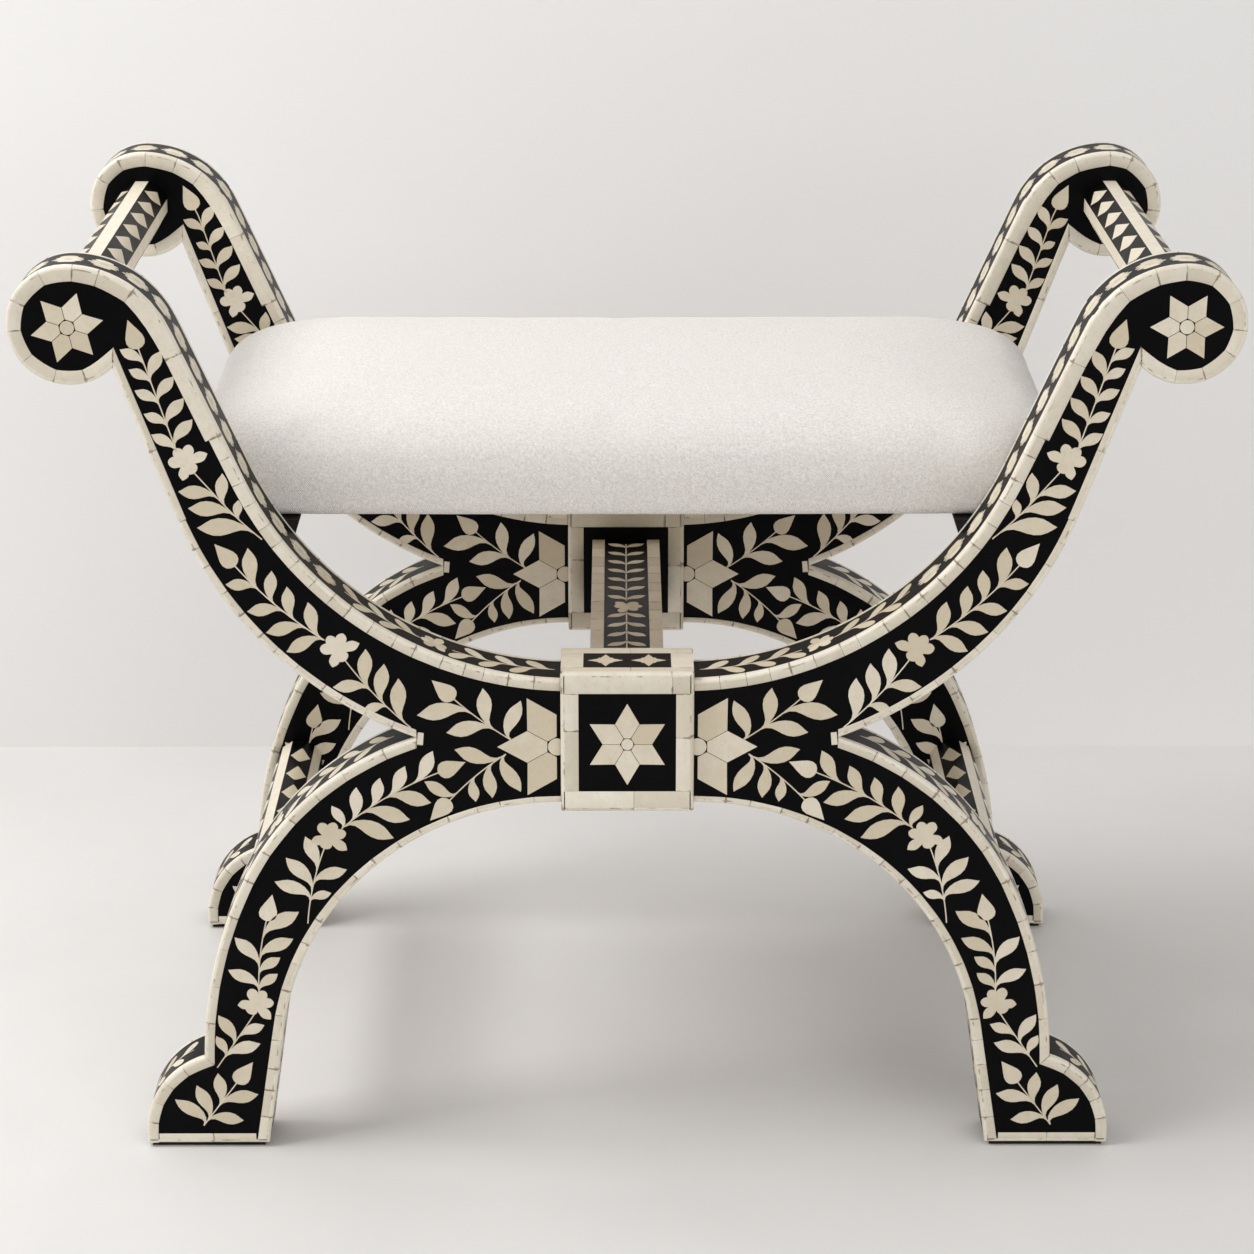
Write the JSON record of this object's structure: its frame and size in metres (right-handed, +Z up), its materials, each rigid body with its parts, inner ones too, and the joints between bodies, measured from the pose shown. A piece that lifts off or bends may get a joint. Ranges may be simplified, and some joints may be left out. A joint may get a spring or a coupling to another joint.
{
  "type": "curule stool",
  "caption": "Fixed X-frame stool with scrolled arms, black resin frames edged and inlaid with bone, and an upholstered linen seat between hand rails.",
  "frame": {"origin": "on the floor, under the middle of the stool", "axes": "+X along the stool from scroll to scroll, +Y from the front frame to the rear frame, +Z up"},
  "size_m": [0.72, 0.388, 0.5645],
  "materials": {
    "black_resin": "polished black resin",
    "bone": "polished bone, warm ivory with brown stains",
    "linen": "off-white nubby linen",
    "black_wood": "hardwood stained black",
    "plywood": "sanded plywood",
    "tenon_wood": "planed beech",
    "pad_rubber": "matt black"
  },
  "bodies": {
    "root": {"centre_stretcher": "black_resin", "foot_pads": "pad_rubber", "front_block": "black_resin", "front_block_casing": "bone", "front_block_star": "bone", "front_frame_inner_rim": "bone", "front_frame_outer_rim": "bone", "front_left_arm": "black_resin", "front_left_leg": "black_resin", "front_right_arm": "black_resin", "front_right_leg": "black_resin", "front_scroll_stars": "bone", "front_side_stars": "bone", "left_hand_rail": "black_resin", "left_hand_rail_strips": "bone", "left_leg_rail": "black_resin", "left_leg_rail_strips": "bone", "left_seat_bearer": "black_wood", "loose_tenons": "tenon_wood", "rear_block": "black_resin", "rear_block_casing": "bone", "rear_block_star": "bone", "rear_frame_inner_rim": "bone", "rear_frame_outer_rim": "bone", "rear_left_arm": "black_resin", "rear_left_leg": "black_resin", "rear_right_arm": "black_resin", "rear_right_leg": "black_resin", "rear_scroll_stars": "bone", "rear_side_stars": "bone", "right_hand_rail": "black_resin", "right_hand_rail_strips": "bone", "right_leg_rail": "black_resin", "right_leg_rail_strips": "bone", "right_seat_bearer": "black_wood", "seat_board": "plywood", "seat_cushion": "linen", "stretcher_edging": "bone"}
  },
  "joints": []
}
